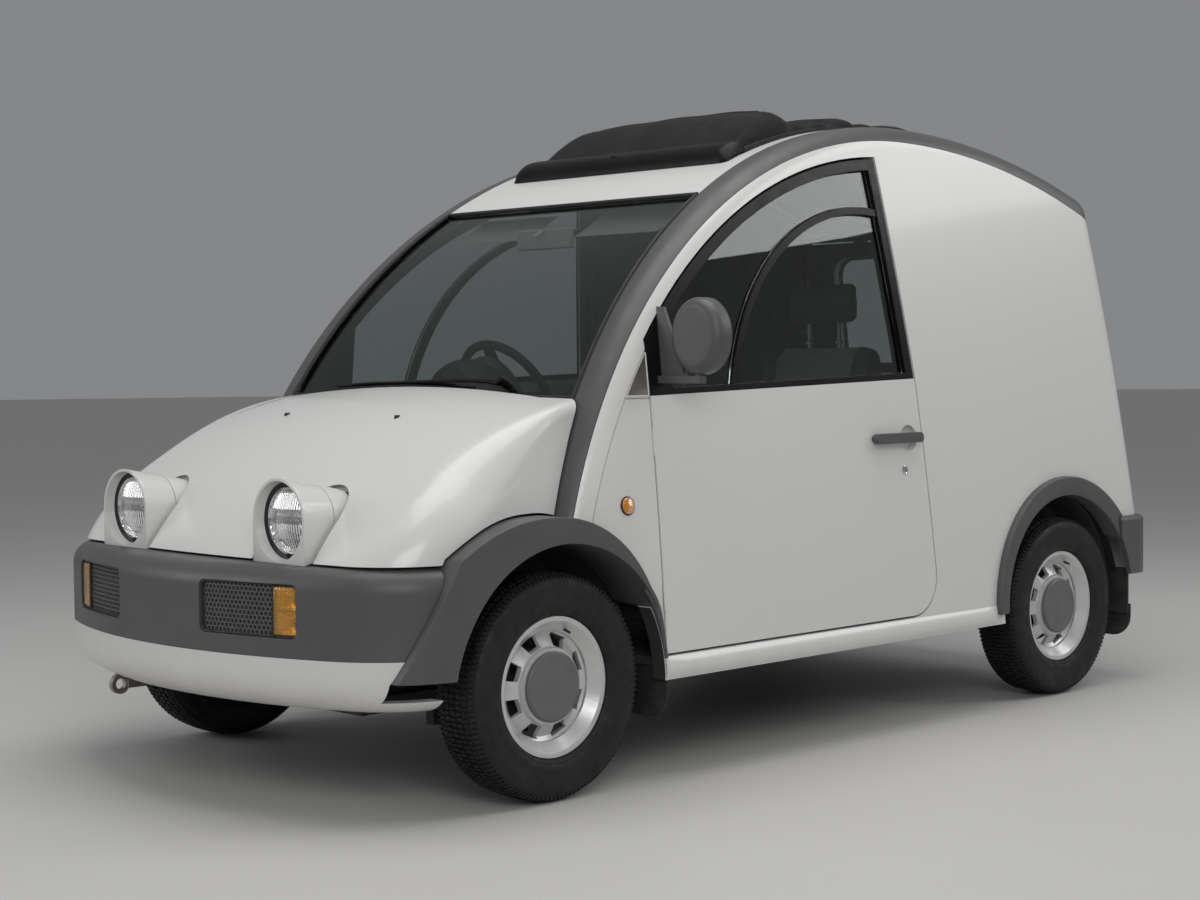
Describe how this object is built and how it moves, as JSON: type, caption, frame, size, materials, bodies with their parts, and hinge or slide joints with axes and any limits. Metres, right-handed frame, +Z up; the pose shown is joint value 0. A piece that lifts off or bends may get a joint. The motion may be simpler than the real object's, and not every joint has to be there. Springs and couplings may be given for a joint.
{
  "type": "light commercial van",
  "caption": "Small rounded delivery van with a great arch roof line, frog-eye headlamps, canvas roof, opening doors, bonnet and tailgate, and steered road wheels.",
  "frame": {"origin": "on the ground in the symmetry plane of the body, midway between nose and tail", "axes": "+X forward, +Y to the left side, +Z up"},
  "size_m": [3.4799, 1.74, 1.856],
  "materials": {
    "white_paint": "gloss",
    "grey_plastic": "satin",
    "black_trim": "gloss",
    "canvas": "matte",
    "clear_glass": "gloss",
    "reflector": "gloss",
    "amber_lens": "gloss",
    "red_lens": "gloss",
    "dark_interior": "matte",
    "seat_cloth": "matte",
    "underbody": "matte",
    "chassis_metal": "satin",
    "engine_metal": "matte",
    "exhaust_steel": "satin",
    "rubber": "matte",
    "tyre_rubber": "matte",
    "silver_wheel": "satin"
  },
  "bodies": {
    "body": {"amber_lamps": "amber_lens", "arch_rails": "grey_plastic", "body_sides": "white_paint", "bulkhead": "underbody", "cab_mirror": "dark_interior", "canvas_roof": "canvas", "dashboard": "dark_interior", "engine_block": "engine_metal", "exhaust": "exhaust_steel", "floor_pan": "underbody", "front_apron": "white_paint", "front_bumper": "grey_plastic", "front_flares": "grey_plastic", "front_struts": "chassis_metal", "front_subframe": "chassis_metal", "fuel_tank": "underbody", "grilles": "black_trim", "headlamp_bowls": "reflector", "headlamp_lenses": "clear_glass", "headlamp_pods": "white_paint", "headrests": "seat_cloth", "load_mat": "rubber", "lower_arms": "chassis_metal", "mud_flaps": "rubber", "rear_axle": "chassis_metal", "rear_bumper": "grey_plastic", "rear_flares": "grey_plastic", "rear_panel": "white_paint", "roof_panel": "white_paint", "seat_bases": "dark_interior", "seats": "seat_cloth", "tail_lamps": "red_lens", "tow_hook": "exhaust_steel", "wheel_tubs": "underbody", "wind_deflector": "black_trim", "windscreen": "clear_glass"},
    "bonnet": {"bonnet": "white_paint"},
    "door_left": {"door_panel_left": "white_paint", "door_sash_left": "black_trim", "door_glass_left": "clear_glass", "door_fittings_left": "grey_plastic"},
    "door_right": {"door_panel_right": "white_paint", "door_sash_right": "black_trim", "door_glass_right": "clear_glass", "door_fittings_right": "grey_plastic"},
    "tailgate": {"tailgate_panel": "white_paint", "tailgate_glass": "clear_glass"},
    "steering_wheel": {"steering_wheel": "dark_interior"},
    "knuckle_left": {"knuckle_left": "chassis_metal"},
    "knuckle_right": {"knuckle_right": "chassis_metal"},
    "front_left_wheel": {"tyre_front_left": "tyre_rubber", "wheel_front_left": "silver_wheel"},
    "front_right_wheel": {"tyre_front_right": "tyre_rubber", "wheel_front_right": "silver_wheel"},
    "rear_left_wheel": {"tyre_rear_left": "tyre_rubber", "wheel_rear_left": "silver_wheel"},
    "rear_right_wheel": {"tyre_rear_right": "tyre_rubber", "wheel_rear_right": "silver_wheel"}
  },
  "joints": [
    {"name": "bonnet_hinge", "type": "hinge", "parent": "body", "child": "bonnet", "pos_m": [0.89334, 0, 1.0032], "axis": [0, -1, 0], "range_deg": [0, 55]},
    {"name": "door_left_hinge", "type": "hinge", "parent": "body", "child": "door_left", "pos_m": [0.685, 0.782, 0.33], "axis": [0, 0.0864, -0.9963], "range_deg": [0, 65]},
    {"name": "door_right_hinge", "type": "hinge", "parent": "body", "child": "door_right", "pos_m": [0.685, -0.782, 0.33], "axis": [0, 0.0864, 0.9963], "range_deg": [0, 65]},
    {"name": "tailgate_hinge", "type": "hinge", "parent": "body", "child": "tailgate", "pos_m": [-1.56699, 0, 1.53927], "axis": [0, 1, 0], "range_deg": [0, 82]},
    {"name": "steer_left", "type": "hinge", "parent": "body", "child": "knuckle_left", "pos_m": [1.055, 0.59, 0.289], "axis": [0, 0, 1], "range_deg": [-34, 34]},
    {"name": "steer_right", "type": "hinge", "parent": "body", "child": "knuckle_right", "pos_m": [1.055, -0.59, 0.289], "axis": [0, 0, 1], "range_deg": [-34, 34]},
    {"name": "steering_wheel_turn", "type": "hinge", "parent": "body", "child": "steering_wheel", "pos_m": [0.24, -0.33, 0.99], "axis": [-0.88, 0, 0.475], "range_deg": [-510, 510]},
    {"name": "front_left_spin", "type": "hinge", "parent": "knuckle_left", "child": "front_left_wheel", "pos_m": [1.055, 0.683, 0.289], "axis": [0, 1, 0], "continuous": true},
    {"name": "front_right_spin", "type": "hinge", "parent": "knuckle_right", "child": "front_right_wheel", "pos_m": [1.055, -0.683, 0.289], "axis": [0, 1, 0], "continuous": true},
    {"name": "rear_left_spin", "type": "hinge", "parent": "body", "child": "rear_left_wheel", "pos_m": [-1.205, 0.683, 0.289], "axis": [0, 1, 0], "continuous": true},
    {"name": "rear_right_spin", "type": "hinge", "parent": "body", "child": "rear_right_wheel", "pos_m": [-1.205, -0.683, 0.289], "axis": [0, 1, 0], "continuous": true}
  ],
  "couplings": [
    {"joint": "steer_right", "follows": "steer_left", "ratio": 1},
    {"joint": "steering_wheel_turn", "follows": "steer_left", "ratio": 15}
  ]
}
